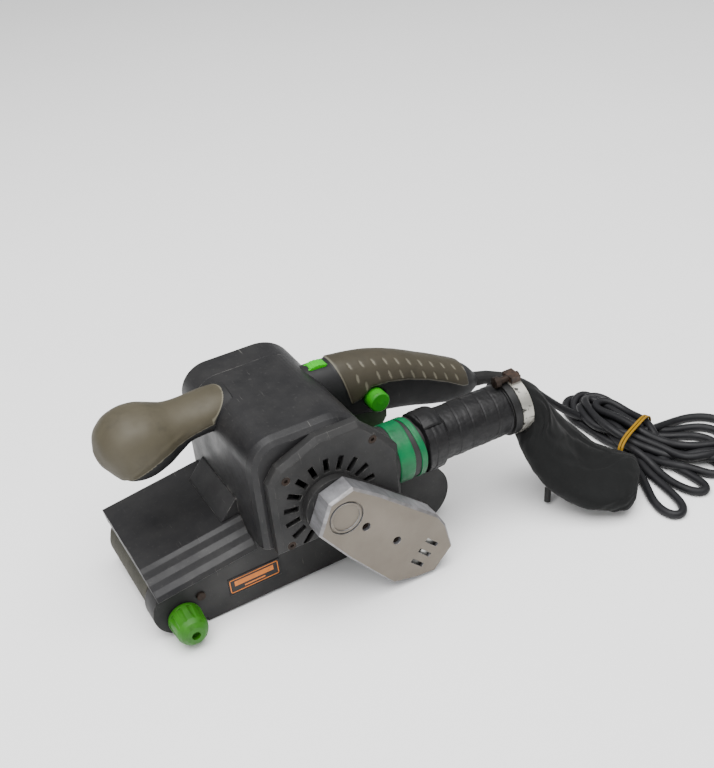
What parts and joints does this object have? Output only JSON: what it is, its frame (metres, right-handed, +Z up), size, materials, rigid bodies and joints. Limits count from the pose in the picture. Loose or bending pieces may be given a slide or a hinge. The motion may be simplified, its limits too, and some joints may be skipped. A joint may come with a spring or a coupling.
{
  "type": "belt sander",
  "caption": "Handheld belt sander with a front knob, an open rear handle, a taped dust pipe, a limp dust bag and a tied mains cord.",
  "frame": {"origin": "centre of the belt's flat sole, on the surface being sanded", "axes": "+Z up, front knob towards -X, rear handle towards +X, drive side (left) towards -Y"},
  "size_m": [0.516, 0.212, 0.1505],
  "materials": {
    "housing_plastic": "fine grain, scratched",
    "base_plastic": "matte, scuffed edges",
    "olive_rubber": "soft matte with worn shine",
    "handle_plastic": "satin",
    "green_plastic": "satin, dusty",
    "button_green": "satin",
    "dial_green": "satin",
    "trigger_green": "satin",
    "cast_cover": "bead blasted, scratched and stained",
    "steel": "satin, dirty",
    "dark_steel": "dark, lightly rusted",
    "iron": "laminated",
    "copper": "satin",
    "abrasive": "grit on cloth",
    "black_rubber": "matte",
    "orange_badge": "foil with a brown border",
    "green_tape": "satin",
    "black_tape": "wrinkled, satin",
    "bag_cloth": "dusty weave",
    "cork": "matte",
    "board": "satin",
    "mustard_rubber": "matte",
    "cord_sheath": "satin"
  },
  "bodies": {
    "machine": {"base_frame": "base_plastic", "front_hood": "housing_plastic", "motor_housing": "housing_plastic", "motor_end_cap": "housing_plastic", "vent_cover": "base_plastic", "belt_case": "base_plastic", "drive_belt_cover": "cast_cover", "handle_left": "handle_plastic", "handle_right": "handle_plastic", "handle_grip": "olive_rubber", "knob_base": "handle_plastic", "knob_grip": "olive_rubber", "maker_plate": "orange_badge", "platen": "steel", "platen_pad": "cork", "sanding_belt": "abrasive", "tension_spring": "steel", "inner_roller_bearing": "steel", "outer_roller_bearing": "steel", "toothed_belt": "black_rubber", "stator": "iron", "right_motor_bearing": "steel", "left_motor_bearing": "steel", "front_brush": "copper", "rear_brush": "copper", "trigger_spring": "steel", "switch_body": "handle_plastic", "speed_board": "board", "adapter_pipe": "handle_plastic", "green_tape": "green_tape", "black_tape": "black_tape", "hose_clamp": "steel", "clamp_screw": "dark_steel", "dust_bag": "bag_cloth", "bag_rail": "handle_plastic", "strain_relief": "black_rubber", "cord_lead": "cord_sheath", "cord_hank": "cord_sheath", "rubber_band": "mustard_rubber", "cord_tail": "cord_sheath", "mains_plug": "black_rubber", "casing_screws": "dark_steel"},
    "yoke": {"tension_yoke": "dark_steel", "front_axle": "steel"},
    "front_roller_body": {"front_roller": "base_plastic"},
    "lever": {"tension_lever": "green_plastic"},
    "tracking": {"tracking_screw": "steel", "tracking_knob": "green_plastic"},
    "rotor": {"motor_shaft": "steel", "armature": "iron", "commutator": "copper", "cooling_fan": "handle_plastic", "dust_fan": "handle_plastic", "pinion": "steel"},
    "drive": {"drive_roller": "black_rubber", "drive_shaft": "steel", "driven_pulley": "steel"},
    "trigger_body": {"trigger": "trigger_green"},
    "lock": {"lock_button": "button_green"},
    "dial": {"speed_dial": "dial_green"}
  },
  "joints": [
    {"name": "motor_spin", "type": "hinge", "parent": "machine", "child": "rotor", "pos_m": [0.024, 0, 0.082], "axis": [0, 1, 0], "continuous": true},
    {"name": "drive_spin", "type": "hinge", "parent": "machine", "child": "drive", "pos_m": [0.08362, 0, 0.0204], "axis": [0, 1, 0], "continuous": true},
    {"name": "tension_turn", "type": "hinge", "parent": "machine", "child": "lever", "pos_m": [-0.042, 0, 0.02], "axis": [0, 1, 0], "range_deg": [0, 90]},
    {"name": "yoke_slide", "type": "slide", "parent": "machine", "child": "yoke", "axis": [1, 0, 0], "range_m": [0, 0.00608], "deforming": ["tension_spring"]},
    {"name": "front_roller_spin", "type": "hinge", "parent": "yoke", "child": "front_roller_body", "pos_m": [-0.08362, 0, 0.0204], "axis": [0, 1, 0], "continuous": true},
    {"name": "tracking_turn", "type": "hinge", "parent": "machine", "child": "tracking", "pos_m": [-0.08562, 0, 0.0145], "axis": [0, 1, 0], "range_deg": [-180, 180]},
    {"name": "trigger_pull", "type": "hinge", "parent": "machine", "child": "trigger_body", "pos_m": [0.088, 0, 0.086], "axis": [0, -1, 0], "range_deg": [0, 10], "stiffness_Nm_per_rad": 0.5, "springref_deg": -2.86, "deforming": ["trigger_spring"]},
    {"name": "lock_push", "type": "slide", "parent": "machine", "child": "lock", "axis": [0, 1, 0], "range_m": [0, 0.004], "stiffness_N_per_m": 400, "springref_m": -0.001},
    {"name": "dial_turn", "type": "hinge", "parent": "machine", "child": "dial", "pos_m": [0.062, 0, 0.1176], "axis": [0, 1, 0], "range_deg": [0, 270]}
  ],
  "couplings": [
    {"joint": "drive_spin", "follows": "motor_spin", "ratio": 0.56},
    {"joint": "front_roller_spin", "follows": "motor_spin", "ratio": 0.56},
    {"joint": "tension_turn", "follows": "yoke_slide", "rad_per_m": 258.35}
  ]
}
